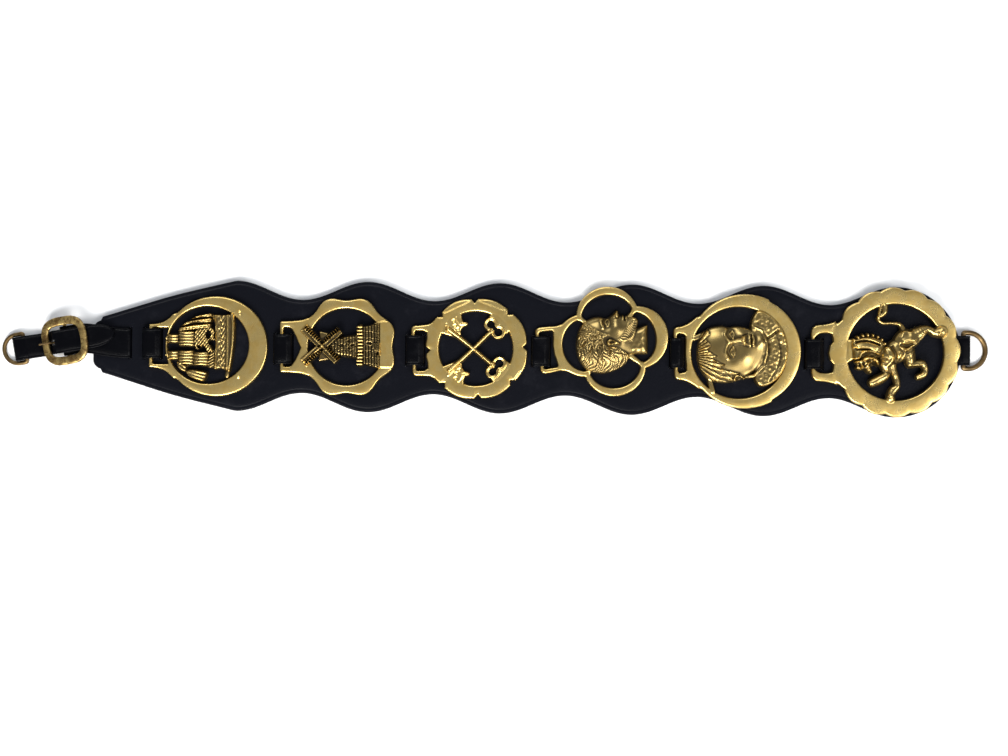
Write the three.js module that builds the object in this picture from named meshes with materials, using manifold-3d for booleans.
// A leather martingale strap with six cast horse brasses, lying flat.
// Millimetres, +Z up. +X runs along the strap from the buckle end to the round end.
import * as THREE from "three";
import { mergeVertices } from "three/addons/utils/BufferGeometryUtils.js";
import Module from "manifold-3d";

const wasm = await Module();
wasm.setup();

// ---------------------------------------------------------------- driving dimensions

const GAP = 0.3; // clearance between touching pieces
const STRAP_THICKNESS = 1.7;
const STRAP_WIDTH = 19.4;
const BILLET_WIDTH = 15.2;
const HALF_STRAP = STRAP_THICKNESS / 2;

const BACKING_THICKNESS = 2.8;
const BACKING_UNDERSIDE = STRAP_THICKNESS + GAP;
const BACKING_TOP = BACKING_UNDERSIDE + BACKING_THICKNESS;
const BACKING_PITCH = 86.6; // one wave of the scalloped edge
const BACKING_WAVES = 5;
const BACKING_LAST_BUMP_X = 262.9;
const BACKING_BUMP_HALF = 42.9;
const BACKING_WAIST_HALF = 30.7;
const BACKING_ROUND_END_RADIUS = 42.8;
const BACKING_LEFT_X = -264;
const BACKING_LEFT_HALF = 15;
const BACKING_CORNER = 6;
const SLIT_LENGTH = STRAP_WIDTH + 1.6;
const SLIT_WIDTH = STRAP_THICKNESS + 0.9;

const BRASS_UNDERSIDE = BACKING_TOP + GAP;
const PLATE = 2.8; // thickness of every brass plate
const BAR_HALF = 1.3; // half the width of a hanger bar
const BAR_Z = BRASS_UNDERSIDE + PLATE / 2;

const LOOP_TOP_Z = BAR_Z + PLATE / 2 + 0.8 + HALF_STRAP; // the bar can turn inside the loop
const LOOP_RISE = 4.6; // from the hanger bar back to the slit where the loop comes up
const LOOP_FALL = 6.3; // from the hanger bar on to the slit where the loop goes down
const FIRST_SLIT_X = -239.5;
const STRAP_TOP_RUN_Z = BACKING_TOP + GAP + HALF_STRAP;

const BUCKLE_X = -281.4;
const BUCKLE_TURN = THREE.MathUtils.degToRad(10);
const BUCKLE_BAR_RADIUS = 1.3;
const BUCKLE_BAR_Z = 3.6;
const BUCKLE_HALF_LENGTH = 15.8;
const BUCKLE_HALF_WIDTH = 15.9;
const BUCKLE_THICKNESS = 2.8;
const BUCKLE_TILT = THREE.MathUtils.degToRad(10.7);
const BUCKLE_CENTRE_Z = 8.9;

const LEFT_RING = { wire: 2.8, width: 21.8, length: 17.2, barX: -28.1, barZ: 3.45, tilt: 8.1 };
const RIGHT_RING = { wire: 3.4, width: 27, length: 18.6, barX: 307.7, barZ: 3.7, tilt: 8.0 };

// Where each hanger bar lies, the brass's turn on the strap, and its lift off the backing.
const BRASSES = {
  galleon: { barX: -225.6, barY: -0.5, turn: 0, slotHalf: 11.7, slotDepth: 8.9 },
  windmill: { barX: -139.8, barY: -0.4, turn: 0.5, slotHalf: 12.7, slotDepth: 9.6 },
  keys: { barX: -53.3, barY: -2.2, turn: 2.5, slotHalf: 13, slotDepth: 7.1 },
  profile_head: { barX: 29.2, barY: -1.5, turn: 9, slotHalf: 12, slotDepth: 8.2 },
  collared_head: { barX: 118.4, barY: -2.2, turn: 2, slotHalf: 12.7, slotDepth: 5.6, rise: 3.1, fall: 4.9 },
  lion: { barX: 208.4, barY: -1.2, turn: 1.2, slotHalf: 13, slotDepth: 9, lift: 2.4 },
};

// ---------------------------------------------------------------- materials

const finish = (color, metalness, roughness) =>
  new THREE.MeshStandardMaterial({ color, metalness, roughness });
const blackLeather = () => finish(0x17171c, 0, 0.5);
const polishedBrass = () => finish(0xc9a24a, 1, 0.25);
const antiqueBrass = () => finish(0x8c7345, 1, 0.45);

// ---------------------------------------------------------------- solids

/** Turns a closed three.js geometry into a solid that can be cut and joined. */
function solid(geometry) {
  const bare = geometry.index ? geometry.toNonIndexed() : geometry.clone();
  bare.deleteAttribute("normal");
  bare.deleteAttribute("uv");
  const merged = mergeVertices(bare, 1e-4);
  return new wasm.Manifold(
    new wasm.Mesh({
      numProp: 3,
      vertProperties: merged.attributes.position.array,
      triVerts: new Uint32Array(merged.index.array),
    }),
  );
}

/** Turns a solid back into a geometry with flat normals. */
function geometryOf(body) {
  const mesh = body.getMesh();
  const geometry = new THREE.BufferGeometry();
  geometry.setAttribute("position", new THREE.BufferAttribute(mesh.vertProperties, 3));
  geometry.setIndex(new THREE.BufferAttribute(mesh.triVerts, 1));
  const flat = geometry.toNonIndexed();
  flat.computeVertexNormals();
  return flat;
}

const joined = (bodies) => bodies.reduce((whole, body) => whole.add(body));
const cut = (body, tools) => tools.reduce((rest, tool) => rest.subtract(tool), body);

/** A plate between two heights, its upper and lower edges rounded by `edge`. */
function plate(shape, bottom, top, edge = 0, curveSegments = 12) {
  const geometry = new THREE.ExtrudeGeometry(shape, {
    depth: top - bottom - 2 * edge,
    bevelEnabled: edge > 0,
    bevelThickness: edge,
    bevelSize: edge,
    bevelOffset: -edge,
    bevelSegments: 1,
    curveSegments,
    steps: 1,
  });
  return solid(geometry.translate(0, 0, bottom + edge));
}

/** A closed shape through a few points, straight between them. */
const polygon = (points) => new THREE.Shape(points.map(([x, y]) => new THREE.Vector2(x, y)));

/** A closed shape through a few points, curved smoothly between them. */
function rounded(points, divisions = 4) {
  const ring = new THREE.CatmullRomCurve3(
    points.map(([x, y]) => new THREE.Vector3(x, y, 0)),
    true,
  );
  return polygon(ring.getPoints(points.length * divisions).slice(0, -1).map((p) => [p.x, p.y]));
}

/** An outline about a centre whose radius is a function of the angle. */
function polarOutline(x, y, steps, radiusAt) {
  const points = [];
  for (let i = 0; i < steps; i++) {
    const angle = (2 * Math.PI * i) / steps;
    const radius = radiusAt(angle);
    points.push([x + radius * Math.cos(angle), y + radius * Math.sin(angle)]);
  }
  return polygon(points);
}

const ellipse = (x, y, rx, ry, turn = 0) =>
  new THREE.Shape().absellipse(x, y, rx, ry, 0, 2 * Math.PI, false, turn);

/** A flat-backed swelling from z = `base` to `base + height`, turned in the plane by degrees. */
function mound(x, y, base, rx, ry, height, turn = 0, across = 10) {
  const profile = [[0, 0], [1, 0], [0.8, 0.7], [0, 1]];
  const dome = new THREE.LatheGeometry(profile.map(([r, z]) => new THREE.Vector2(r, z)), across);
  dome.rotateX(Math.PI / 2).scale(rx, ry, height);
  return solid(dome.rotateZ(THREE.MathUtils.degToRad(turn)).translate(x, y, base));
}

/** A flat-backed limb of changing half-width through points [x, y, half], domed at its joints. */
function limb(points, base, height) {
  const bodies = [];
  points.forEach(([x, y, half], i) => {
    bodies.push(mound(x, y, base, half, half, height, 0, 6));
    if (i === 0) return;
    const [px, py, before] = points[i - 1];
    const side = new THREE.Vector2(py - y, x - px).setLength(0.9);
    const edges = [
      [px + side.x * before, py + side.y * before],
      [x + side.x * half, y + side.y * half],
      [x - side.x * half, y - side.y * half],
      [px - side.x * before, py - side.y * before],
    ];
    bodies.push(plate(polygon(edges), base, base + height * 0.8));
  });
  return joined(bodies);
}

/** A straight bar with square edges between two points in the plane. */
function strip([x1, y1], [x2, y2], width, bottom, top) {
  const length = Math.hypot(x2 - x1, y2 - y1);
  const box = new THREE.BoxGeometry(length, width, top - bottom);
  box.rotateZ(Math.atan2(y2 - y1, x2 - x1));
  return solid(box.translate((x1 + x2) / 2, (y1 + y2) / 2, (bottom + top) / 2));
}

// ---------------------------------------------------------------- leather

/** Rounds the corners of an open path [x, z] and returns its points. */
function roundedPath(corners, radius, steps = 2) {
  const points = [new THREE.Vector2(...corners[0])];
  for (let i = 1; i < corners.length - 1; i++) {
    const corner = new THREE.Vector2(...corners[i]);
    const before = new THREE.Vector2(...corners[i - 1]).sub(corner);
    const after = new THREE.Vector2(...corners[i + 1]).sub(corner);
    const half = Math.acos(before.dot(after) / (before.length() * after.length())) / 2;
    const back = Math.min(radius / Math.tan(half), before.length() / 2, after.length() / 2);
    const bend = new THREE.QuadraticBezierCurve(
      corner.clone().add(before.setLength(back)),
      corner,
      corner.clone().add(after.setLength(back)),
    );
    points.push(...bend.getPoints(steps));
  }
  points.push(new THREE.Vector2(...corners.at(-1)));
  return points;
}

/** Leather of even thickness that follows a path in X and Z, `width` wide in Y. */
function leather(path, width, thickness = STRAP_THICKNESS) {
  const sides = [[], []];
  path.forEach((point, i) => {
    const next = path[Math.min(i + 1, path.length - 1)];
    const last = path[Math.max(i - 1, 0)];
    const along = next.clone().sub(last).normalize();
    const normal = new THREE.Vector2(-along.y, along.x).multiplyScalar(thickness / 2);
    sides[0].push(point.clone().add(normal));
    sides[1].unshift(point.clone().sub(normal));
  });
  const profile = new THREE.Shape([...sides[0], ...sides[1]]);
  const slab = new THREE.ExtrudeGeometry(profile, { depth: width, bevelEnabled: false });
  return slab.rotateX(Math.PI / 2).translate(0, width / 2, 0);
}

const blend = THREE.MathUtils.smoothstep;

/** How far the threading strap's centre line lies off the backing's centre line. */
function strapDrift(x) {
  const alongBrasses = -1.8 + 2.8 * (1 - blend(x, -214, -150));
  const towardsBuckle = 3.6 * (1 - blend(x, -276, -242));
  const towardsEnd = 3.3 * blend(x, 225, 300);
  const pastBuckle = Math.tan(BUCKLE_TURN) * Math.min(0, x + 268);
  return alongBrasses + towardsBuckle + towardsEnd + pastBuckle;
}

/** Bends a straight strap so that its centre line follows strapDrift. */
function bendInPlan(geometry) {
  const position = geometry.attributes.position;
  for (let i = 0; i < position.count; i++) {
    const x = position.getX(i);
    const y = position.getY(i);
    const heading = Math.atan2(strapDrift(x + 0.5) - strapDrift(x - 0.5), 1);
    position.setXY(i, x - y * Math.sin(heading), strapDrift(x) + y * Math.cos(heading));
  }
  return geometry;
}

/** The loop over one hanger bar, from slit to slit, as corners [x, z]. */
function loopCorners({ barX, rise = LOOP_RISE, fall = LOOP_FALL, lift = 0 }) {
  const top = LOOP_TOP_Z + (lift ? 0.1 : 0);
  return [
    [barX - rise, HALF_STRAP],
    [barX - rise, top - 0.5],
    [barX - rise / 2 + 0.6, top],
    [barX + fall - 3.1, top],
    [barX + fall, top - 2.2],
    [barX + fall, HALF_STRAP],
  ];
}

function threadingStrap() {
  const foldRadius = BUCKLE_BAR_RADIUS + GAP + HALF_STRAP;
  const endFoldX = 311;
  const endTopZ = RIGHT_RING.barZ + RIGHT_RING.wire / 2 + GAP + HALF_STRAP;
  const corners = [
    [-266.2, BACKING_TOP - HALF_STRAP],
    [-270.5, 3.1],
    [-276, BUCKLE_BAR_Z - foldRadius],
    [BUCKLE_X - foldRadius, BUCKLE_BAR_Z - foldRadius],
    [BUCKLE_X - foldRadius, BUCKLE_BAR_Z + foldRadius],
    [BUCKLE_X + 6, BUCKLE_BAR_Z + foldRadius],
    [BUCKLE_X + 12, STRAP_TOP_RUN_Z],
    [FIRST_SLIT_X, STRAP_TOP_RUN_Z],
    [FIRST_SLIT_X, HALF_STRAP],
  ];
  for (const brass of Object.values(BRASSES)) corners.push(...loopCorners(brass));
  corners.push(
    [endFoldX, HALF_STRAP],
    [endFoldX, endTopZ],
    [RIGHT_RING.barX - 1, endTopZ],
    [RIGHT_RING.barX - 4.5, BACKING_TOP + GAP + HALF_STRAP],
    [RIGHT_RING.barX - 12, BACKING_TOP + GAP + HALF_STRAP],
  );
  const strap = solid(bendInPlan(leather(roundedPath(corners, 2.1), STRAP_WIDTH)));
  const tongueSlot = new THREE.BoxGeometry(10, 4, 12).rotateZ(BUCKLE_TURN);
  tongueSlot.translate(BUCKLE_X - 1.5, strapDrift(BUCKLE_X), BUCKLE_BAR_Z);
  return strap.subtract(solid(tongueSlot));
}

/** Half the width of the backing at x, between its left end and its last bump. */
function backingHalf(x) {
  const firstBump = BACKING_LAST_BUMP_X - BACKING_WAVES * BACKING_PITCH;
  if (x < firstBump) {
    const t = (x - BACKING_LEFT_X) / (firstBump - BACKING_LEFT_X);
    const straight = THREE.MathUtils.lerp(BACKING_LEFT_HALF + 1.5, BACKING_BUMP_HALF + 3, t);
    return straight - 3 * blend(t, 0.45, 1.25) * 1.28;
  }
  const middle = (BACKING_BUMP_HALF + BACKING_WAIST_HALF) / 2;
  const swing = (BACKING_BUMP_HALF - BACKING_WAIST_HALF) / 2;
  return middle + swing * Math.cos((2 * Math.PI * (x - firstBump)) / BACKING_PITCH);
}

function backingOutline() {
  const upper = [];
  const cornerSteps = 5;
  for (let i = 0; i < cornerSteps; i++) {
    const angle = (Math.PI / 2) * (i / cornerSteps);
    const x = BACKING_LEFT_X + BACKING_CORNER * (1 - Math.cos(angle));
    upper.push([x, BACKING_LEFT_HALF + 1 - BACKING_CORNER * (1 - Math.sin(angle))]);
  }
  for (let x = BACKING_LEFT_X + BACKING_CORNER; x < BACKING_LAST_BUMP_X - 1; x += BACKING_PITCH / 10) {
    upper.push([x, backingHalf(x)]);
  }
  const endSteps = 22;
  for (let i = 0; i < endSteps / 2; i++) {
    const angle = Math.PI / 2 - (Math.PI * i) / endSteps;
    const x = BACKING_LAST_BUMP_X + BACKING_ROUND_END_RADIUS * Math.cos(angle);
    upper.push([x, BACKING_BUMP_HALF * Math.sin(angle)]);
  }
  const lower = upper.map(([x, y]) => [x, -y]).reverse();
  const tip = [BACKING_LAST_BUMP_X + BACKING_ROUND_END_RADIUS, 0];
  return polygon([...upper, tip, ...lower]);
}

function backing() {
  const body = plate(backingOutline(), BACKING_UNDERSIDE, BACKING_TOP);
  const slitsX = [FIRST_SLIT_X];
  for (const { barX, rise = LOOP_RISE, fall = LOOP_FALL } of Object.values(BRASSES)) {
    slitsX.push(barX - rise, barX + fall);
  }
  const slits = slitsX.map((x) => {
    const slit = new THREE.BoxGeometry(SLIT_WIDTH, SLIT_LENGTH, 2 * BACKING_TOP);
    return solid(slit.translate(x, strapDrift(x), BACKING_TOP / 2));
  });
  return cut(body, slits);
}

/** The billet in the buckle's own frame: the buckle bar is at x = 0. */
function billet() {
  const foldX = -34.4;
  const topZ = LEFT_RING.barZ + LEFT_RING.wire / 2 + GAP + HALF_STRAP;
  const tipX = 32.6;
  const corners = [
    [-13, HALF_STRAP],
    [foldX, HALF_STRAP],
    [foldX, topZ - 0.4],
    [LEFT_RING.barX - 1.5, topZ],
    [LEFT_RING.barX + 2, topZ],
    [-18.5, STRAP_THICKNESS + GAP + HALF_STRAP],
    [-11.2, STRAP_THICKNESS + GAP + HALF_STRAP],
    [-7.2, 8.05],
    [-3, 8.25],
    [tipX, 8.25],
  ];
  const strap = solid(leather(roundedPath(corners, 2.1), BILLET_WIDTH));
  const tongueHole = new THREE.BoxGeometry(5, 3.8, 9).translate(-9.3, 0, 7.2);
  const half = BILLET_WIDTH / 2 + 1;
  const outline = new THREE.Shape();
  outline.moveTo(foldX - 5, -half);
  outline.lineTo(tipX - 17, -half);
  outline.bezierCurveTo(tipX - 6, -half, tipX, -4, tipX, 0);
  outline.bezierCurveTo(tipX, 4, tipX - 6, half, tipX - 17, half);
  outline.lineTo(foldX - 5, half);
  return strap.subtract(solid(tongueHole)).intersect(plate(outline, -1, 20, 0, 8));
}

// ---------------------------------------------------------------- metal fittings

/** A cast frame with rounded corners and its centre bar on two short lugs. */
function buckleFrame() {
  const sides = 24;
  const superellipse = (rx, ry, power) => (angle) => {
    const c = Math.abs(Math.cos(angle)) / rx;
    const s = Math.abs(Math.sin(angle)) / ry;
    return (c ** power + s ** power) ** (-1 / power);
  };
  const outer = polarOutline(0, 0, sides, superellipse(BUCKLE_HALF_LENGTH, BUCKLE_HALF_WIDTH, 2.9));
  outer.holes.push(new THREE.Path(polarOutline(0, 0, sides, superellipse(11.1, 10.1, 4)).getPoints()));
  const half = BUCKLE_THICKNESS / 2;
  const flat = new THREE.ExtrudeGeometry(outer, {
    depth: BUCKLE_THICKNESS - 1.8,
    bevelThickness: 0.9,
    bevelSize: 0.9,
    bevelOffset: -0.9,
    bevelSegments: 1,
  });
  flat.translate(0, 0, 0.9 - half).rotateY(-BUCKLE_TILT).translate(0, 0, BUCKLE_CENTRE_Z);
  const lugY = 11.7;
  const bar = new THREE.CylinderGeometry(BUCKLE_BAR_RADIUS, BUCKLE_BAR_RADIUS, 2 * lugY + 2, 12);
  const bodies = [solid(flat), solid(bar.translate(0, 0, BUCKLE_BAR_Z))];
  for (const side of [-1, 1]) {
    const rise = BUCKLE_CENTRE_Z - BUCKLE_BAR_Z;
    const lug = new THREE.CylinderGeometry(1.3, 1.3, rise, 12).rotateX(Math.PI / 2);
    bodies.push(solid(lug.translate(0, side * lugY, BUCKLE_BAR_Z + rise / 2)));
  }
  return joined(bodies);
}

/** A tube along a curve, closed at both ends. */
function tube(curve, radius, sides, steps) {
  const section = ellipse(0, 0, radius, radius);
  const body = new THREE.ExtrudeGeometry(section, {
    steps,
    extrudePath: curve,
    curveSegments: sides,
    bevelEnabled: false,
  });
  return solid(body);
}

function buckleTongue() {
  const radius = 0.8;
  const wrap = BUCKLE_BAR_RADIUS + GAP + radius + 0.1;
  const points = [];
  for (let degrees = -70; degrees <= 110; degrees += 36) {
    const angle = THREE.MathUtils.degToRad(degrees);
    points.push([wrap * Math.cos(angle), BUCKLE_BAR_Z + wrap * Math.sin(angle)]);
  }
  points.push([-4, 5.8], [-7.4, 5.6], [-9.1, 6.7], [-9.7, 8.7], [-12, 9.8], [-14.5, 9.5], [-17, 9]);
  const curve = new THREE.CatmullRomCurve3(points.map(([x, z]) => new THREE.Vector3(x, 0, z)));
  return tube(curve, radius, 4, 17);
}

/** A D-ring of round wire lying in XY, its straight bar along Y at the origin. */
function dRing({ wire, width, length, tilt }, towards) {
  const round = wire / 2;
  const radius = width / 2 - round;
  const outline = (offset) => {
    const r = radius + offset;
    const straight = length - wire - radius;
    const shape = new THREE.Path();
    shape.moveTo(-offset, -r);
    shape.lineTo(straight, -r);
    shape.absarc(straight, 0, r, -Math.PI / 2, Math.PI / 2, false);
    shape.lineTo(-offset, r);
    shape.closePath();
    return shape;
  };
  const sliver = 0.12;
  const ring = new THREE.Shape(outline(sliver).getPoints(6));
  ring.holes.push(new THREE.Path(outline(-sliver).getPoints(6)));
  const body = new THREE.ExtrudeGeometry(ring, {
    depth: 2 * sliver,
    bevelThickness: round - sliver,
    bevelSize: round - sliver,
    bevelSegments: 2,
  });
  body.translate(0, 0, -sliver).rotateY(THREE.MathUtils.degToRad(tilt));
  return solid(towards < 0 ? body.rotateZ(Math.PI) : body);
}

// ---------------------------------------------------------------- brasses
// Each brass is drawn upright: x across, y up, its hanger bar on the origin, underside at z = 0.

/** The strap hanger: two arms, the bar above the slot, and a foot that runs into the ring. */
function hanger({ slotHalf, slotDepth }, outerHalf, foot, flare) {
  const top = BAR_HALF;
  const corner = 2.2;
  const shape = new THREE.Shape();
  shape.moveTo(-outerHalf + corner, top);
  shape.quadraticCurveTo(-outerHalf, top, -outerHalf, top - corner);
  shape.quadraticCurveTo(-outerHalf, -slotDepth, -outerHalf - flare, -foot);
  shape.lineTo(outerHalf + flare, -foot);
  shape.quadraticCurveTo(outerHalf, -slotDepth, outerHalf, top - corner);
  shape.quadraticCurveTo(outerHalf, top, outerHalf - corner, top);
  shape.closePath();
  const slot = new THREE.Shape();
  const low = -BAR_HALF - slotDepth;
  slot.moveTo(-slotHalf, -BAR_HALF - 1);
  slot.quadraticCurveTo(-slotHalf, -BAR_HALF, -slotHalf + 1, -BAR_HALF);
  slot.lineTo(slotHalf - 1, -BAR_HALF);
  slot.quadraticCurveTo(slotHalf, -BAR_HALF, slotHalf, -BAR_HALF - 1);
  slot.quadraticCurveTo(slotHalf, low, slotHalf - 2, low);
  slot.lineTo(2 - slotHalf, low);
  slot.quadraticCurveTo(-slotHalf, low, -slotHalf, -BAR_HALF - 1);
  return { body: plate(shape, 0, PLATE, 0.6, 4), slot: plate(slot, -1, PLATE + 1, 0, 3) };
}

/** A ring and its hanger as one plate, with the openings cut through. */
function framePlate(brass, outline, openings, { outerHalf, foot, flare }) {
  const { body, slot } = hanger(brass, outerHalf, foot, flare);
  const whole = plate(outline, 0, PLATE).add(body);
  return cut(whole, [slot, ...openings.map((shape) => plate(shape, -1, PLATE + 1))]);
}

function galleon(brass) {
  const frame = framePlate(brass, ellipse(0, -42.8, 32.8, 33.9), [ellipse(0.7, -37.5, 24.8, 26)], {
    outerHalf: 14.3,
    foot: 13,
    flare: 3,
  });
  const hull = [[-14.6, -40.6], [0, -42.4], [12, -42.2], [20.4, -40.2], [20.2, -54], [12, -56]];
  hull.push([2, -55.8], [-8, -54.2], [-17.5, -50]);
  const relief = [
    plate(polygon(hull), 0.6, 4.6, 0.9),
    strip([-15, -42.2], [20.6, -42.2], 2, 3, 5.6),
    strip([-16.5, -50.4], [20, -55.2], 1.8, 2.5, 5.4),
    strip([-24, -52], [-15, -49.5], 3, 0.4, 3.4),
    strip([18, -54], [22.5, -57.5], 4, 0.4, 3.4),
    strip([-6.6, -11], [-8, -42], 1.6, 1, 3.6),
    strip([5.4, -11], [5, -42], 1.6, 1, 3.6),
    strip([17, -20], [16, -42], 1.4, 1, 3.4),
    strip([-24.6, -31], [-14, -28], 1.8, 0.8, 3),
  ];
  const sails = [
    [-5.6, -15.4, 2.7, 3],
    [-7.1, -23, 3.7, 4.6],
    [-8.6, -33.6, 4.6, 5.8],
    [4.9, -15.4, 2.8, 3],
    [4.4, -23.6, 4, 4.7],
    [4.2, -34.6, 4.6, 6.4],
    [-18.4, -32.2, 4.2, 6.2],
    [12.4, -30.5, 4.4, 9.6],
    [18.2, -34.2, 3.9, 7.4],
  ];
  for (const [x, y, rx, ry] of sails) relief.push(mound(x, y, 0.5, rx, ry, 4.9, 0, 8));
  return joined([frame, ...relief]);
}

function windmill(brass) {
  const centreY = -42.4;
  const outline = polarOutline(0, centreY, 56, (a) => 32 - 1.5 * Math.cos(8 * a));
  const frame = framePlate(brass, outline, [ellipse(0, centreY, 25, 25)], {
    outerHalf: 16.9,
    foot: 17,
    flare: 2,
  });
  const base = [[-13.5, -61], [14.5, -61], [15.6, -68], [14, -72.3], [4, -70.6], [-4, -70.6]];
  base.push([-12.5, -72.3], [-15, -68]);
  const tower = [[-5.4, -30], [6.6, -30], [8.9, -49.5], [-8.2, -49.5]];
  const lowerTower = [[-10.4, -53.5], [11.4, -53.5], [15.4, -64], [-13.6, -64]];
  const relief = [
    plate(polygon(base), 0, PLATE + 0.4, 0.4),
    plate(polygon(tower), 0.6, 4.8, 1),
    plate(polygon(lowerTower), 0.6, 5, 1),
    strip([-11.9, -51.5], [13.6, -51.5], 4.4, 1, 6),
    plate(polygon([[-9.5, -24.5], [-3, -26], [-3, -31.5], [-7, -31]]), 1, 4.4, 0.5),
    plate(polygon([[10.4, -24.5], [4.5, -26], [4.5, -31.5], [8.4, -31]]), 1, 4.4, 0.5),
  ];
  const hub = [0.8, -27];
  for (const tip of [[-10.6, -14.6], [12, -14.6], [-8.4, -38], [11, -39]]) {
    const root = [hub[0] + (tip[0] - hub[0]) * 0.28, hub[1] + (tip[1] - hub[1]) * 0.28];
    relief.push(strip(hub, tip, 1.6, 2.6, 6.4), strip(root, tip, 5.4, 2.6, 5.6));
  }
  relief.push(mound(hub[0], hub[1], 3, 2.2, 2.2, 4.4, 0, 8));
  for (let i = 0; i < 9; i++) relief.push(mound(-10.4 + 2.85 * i, -51.5, 4, 1.1, 1.8, 2.8, 0, 6));
  return joined([frame, ...relief]);
}

/** One key: shaft, collar, a bit that fills up to the ring, and a bow with two holes. */
function key(centre, mirror) {
  const at = (x, y) => [centre[0] + mirror * x, centre[1] + y];
  const bowHoles = [at(15.6, -11.4), at(10.2, -16.1)];
  const bit = [at(-13, 20), at(-24, 13.6), at(-24.6, 7.7), at(-19.9, 7.4), at(-17.7, 4.4), at(-15.1, 4.3)];
  bit.push(at(-14.2, 7), at(-5.6, 7));
  const solids = [
    plate(polygon(bit), 0.4, 3.2),
    strip(at(-14, 16.6), at(11, -11.6), 2.8, 0.8, 4.2),
    strip(at(-16, 17.4), at(-14, 14.4), 2.2, 2, 4.8),
    strip(at(-20, 10.8), at(-17.4, 9), 2.6, 2, 4.8),
    strip(at(-16.5, 8), at(-16.4, 3.8), 2.4, 0.8, 4.6),
    mound(...at(9, -9.2), 0.8, 2.3, 2.3, 3.8, 0, 8),
  ];
  for (const [x, y] of bowHoles) solids.push(plate(ellipse(x, y, 4.6, 4.6), 0.4, 3.7, 0.6, 6));
  const holes = bowHoles.map(([x, y]) => plate(ellipse(x, y, 2.6, 2.6), -1, 8, 0, 6));
  holes.push(strip(...bowHoles, 2.2, -1, 8));
  return { body: joined(solids), holes };
}

function crossedKeys(brass) {
  const centreY = -41.2;
  const notches = 8;
  const outline = polarOutline(0, centreY, 64, (a) => {
    const fromNotch = Math.abs(((((a + Math.PI / 2) * notches) / (2 * Math.PI) + 0.5) % 1) - 0.5);
    return 33.9 - 0.8 * Math.cos(a) ** 2 - 2.4 * Math.max(0, 1 - fromNotch / 0.09);
  });
  const frame = framePlate(brass, outline, [ellipse(0.1, -40.7, 24.2, 24.1)], {
    outerHalf: 16.6,
    foot: 12.5,
    flare: 1,
  });
  const keys = [key([0, -39.7], 1), key([0, -39.7], -1)];
  return cut(joined([frame, ...keys.map((k) => k.body)]), keys.flatMap((k) => k.holes));
}

function profileHead(brass) {
  const centre = [-0.7, -47.2];
  const lobeReach = 16.2;
  const lobes = (outward, along) =>
    [0, 1, 2, 3].map((i) => {
      const angle = (Math.PI / 2) * i;
      const x = centre[0] + lobeReach * Math.cos(angle);
      return ellipse(x, centre[1] + lobeReach * Math.sin(angle), outward, along, angle);
    });
  const { body, slot } = hanger(brass, 15.4, 15, -1);
  const solidLobes = lobes(20.8, 20.8).map((shape) => plate(shape, 0, PLATE, 0, 9));
  const openings = lobes(14.8, 16.6).map((shape) => plate(shape, -1, PLATE + 1, 0, 9));
  const [x, y] = centre;
  const bars = [[-1, 1], [1, 1], [-1, -1], [1, -1]].map(([right, up]) => {
    return strip([x + 11 * right, y + 11 * up], [x + 18.8 * right, y + 18.8 * up], 3, 0, PLATE);
  });
  const frame = joined([cut(joined([body, ...solidLobes]), [slot, ...openings]), ...bars]);
  const neck = [[x - 12, y - 8], [x + 8, y - 14], [x + 7, y - 27.5], [x - 8, y - 27.5]];
  const relief = [
    mound(x - 1.5, y + 5, 0.4, 19.2, 18.6, 8.4, 0, 14),
    mound(x + 6, y - 5, 0.4, 13.5, 15.5, 6.8, -12, 14),
    mound(x + 18.5, y - 3, 0.4, 3.4, 3.6, 4.4, 0, 8),
    mound(x + 15, y - 11.5, 0.4, 4.4, 4.2, 4.6, 0, 8),
    mound(x + 12.6, y - 17.6, 0.4, 4.6, 4, 4.6, 0, 8),
    plate(polygon(neck), 0.4, 5.4, 1.2),
    mound(x - 3, y - 4.5, 4, 2.4, 3.8, 4.6, 12, 8),
    mound(x - 17.5, y - 4, 0.4, 4.2, 7, 5.8, 0, 10),
  ];
  return joined([frame, ...relief]);
}

function collaredHead(brass) {
  const outline = polarOutline(0.2, -45.4, 32, () => 37.3);
  const hole = ellipse(-0.6, -41.3, 29.8, 31);
  const frame = framePlate(brass, outline, [hole], { outerHalf: 17.5, foot: 12, flare: 3 });
  const [x, y] = [-2, -35.5];
  const collar = [[-21.5, -55], [-14, -51], [0, -53], [14, -50.5], [24.5, -53.5], [22, -62], [12, -71]];
  collar.push([0, -74], [-12, -70.5], [-19, -64]);
  const relief = [
    plate(rounded(collar, 3), 0.4, 5.2, 1.3),
    mound(x, y - 0.8, 0.4, 19.4, 22.4, 9.2, 0, 16),
    mound(x + 3.5, y - 9, 0.4, 15.2, 15.6, 9.4, 0, 14),
    mound(x + 9.5, y - 5.6, 5, 2, 4.6, 5.4, 0, 8),
    mound(x + 8, y - 16.6, 4, 4.4, 1.8, 4.6, 0, 8),
    mound(x + 7, y - 21.6, 0.4, 5, 3, 7.6, 0, 8),
    mound(x - 16.4, y - 8.4, 0.4, 3, 5, 6.8, 0, 8),
    strip([-21, -22], [-14, -26], 4, 0.4, 3.4),
    strip([10, -16], [17, -12], 4, 0.4, 3.4),
  ];
  return joined([frame, ...relief]);
}

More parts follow.
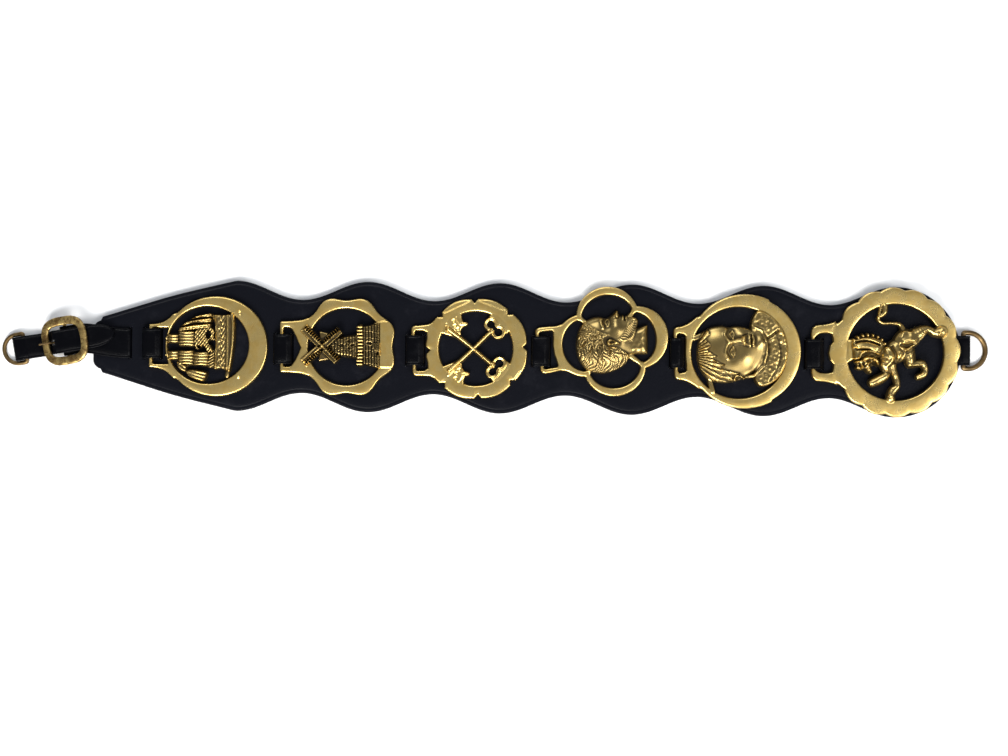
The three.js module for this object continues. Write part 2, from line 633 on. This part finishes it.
function lion(brass) {
  const centreY = -53.5;
  const scallops = 16;
  const firstLobe = 0.03; // the scallops stand this far round from the axes
  const outline = polarOutline(0, centreY, 64, (a) => {
    return 40.8 + 1.9 * Math.abs(Math.cos((scallops / 2) * (a - firstLobe)));
  });
  const frame = framePlate(brass, outline, [ellipse(0, centreY, 31.4, 31.4)], {
    outerHalf: 18.4,
    foot: 15,
    flare: 4,
  });
  const base = 0.3;
  const height = 5.4;
  const from = (points) => points.map(([x, y, half]) => [x, centreY + y, half]);
  const relief = [
    mound(3.4, centreY + 18.6, base, 7, 11.4, 6.4, 8, 10),
    mound(-7.6, centreY + 18, base, 6, 6.6, 6.6, 20, 8),
    mound(0.4, centreY + 29, base, 6.6, 4.4, 3.8, 0, 8),
    mound(-2.4, centreY + 4.4, base, 7.6, 6, 6.8, 0, 10),
    mound(1.6, centreY - 2.4, base, 8.6, 7.4, 6.4, -40, 8),
    mound(8.6, centreY - 7.4, base, 7.4, 6, 6.6, -50, 8),
    limb(from([[-7, 2.6, 3.4], [-15, -0.4, 2.5], [-22.4, -1.6, 2.5], [-31, 3, 3.1]]), base, height),
    limb(from([[-8, 7.4, 3], [-15.8, 6, 2.5], [-20.4, 14.6, 2.7]]), base, height),
    limb(from([[9.6, -11, 4.6], [14.8, -19, 2.6], [13.4, -24, 2.6], [13.6, -29.6, 3.4]]), base, height),
    limb(from([[1, -9, 4.2], [-7.6, -9, 3.1], [-6.8, -18.4, 2.6]]), base, height),
    limb(from([[-6.8, -18.4, 2.6], [-13.8, -18.4, 2.4], [-15.8, -14.4, 2.2]]), base, height),
    limb(from([[11, -5, 2], [18.4, -3.6, 1.4], [18.8, 7.6, 1.3], [22.6, 11.4, 1.4]]), base, 4),
    limb(from([[22.6, 11.4, 1.4], [25, 7, 1.9], [31.4, 6.6, 2.6]]), base, 4),
  ];
  return joined([frame, ...relief]);
}

// ---------------------------------------------------------------- assembly

const mesh = (name, body, material) => {
  const made = new THREE.Mesh(geometryOf(body), material);
  made.name = name;
  return made;
};

const strap = new THREE.Group();
strap.add(mesh("backing", backing(), blackLeather()));
strap.add(mesh("threading_strap", threadingStrap(), blackLeather()));

const buckleEnd = new THREE.Group();
buckleEnd.position.set(BUCKLE_X, strapDrift(BUCKLE_X), 0);
buckleEnd.rotation.z = BUCKLE_TURN;
buckleEnd.add(mesh("billet", billet(), blackLeather()));
buckleEnd.add(mesh("buckle_frame", buckleFrame(), antiqueBrass()));
buckleEnd.add(mesh("buckle_tongue", buckleTongue(), antiqueBrass()));
const leftRing = mesh("d_ring_left", dRing(LEFT_RING, -1), antiqueBrass());
leftRing.position.set(LEFT_RING.barX, 0, LEFT_RING.barZ);
buckleEnd.add(leftRing);
strap.add(buckleEnd);

const rightRing = mesh("d_ring_right", dRing(RIGHT_RING, 1), antiqueBrass());
rightRing.position.set(RIGHT_RING.barX, strapDrift(RIGHT_RING.barX), RIGHT_RING.barZ);
strap.add(rightRing);

const casting = { galleon, windmill, keys: crossedKeys };
Object.assign(casting, { profile_head: profileHead, collared_head: collaredHead, lion });
for (const [name, brass] of Object.entries(BRASSES)) {
  const cast = mesh(`brass_${name}`, casting[name](brass), polishedBrass());
  const tilt = Math.asin((brass.lift ?? 0) / 90);
  cast.position.set(brass.barX, brass.barY, BRASS_UNDERSIDE);
  cast.rotation.set(0, -tilt, Math.PI / 2 + THREE.MathUtils.degToRad(brass.turn), "YZX");
  strap.add(cast);
}

// The bottom centre of the whole strap is the origin.
const middle = new THREE.Box3().setFromObject(strap, true).getCenter(new THREE.Vector3());
strap.position.set(-middle.x, -middle.y, 0);

export default strap;
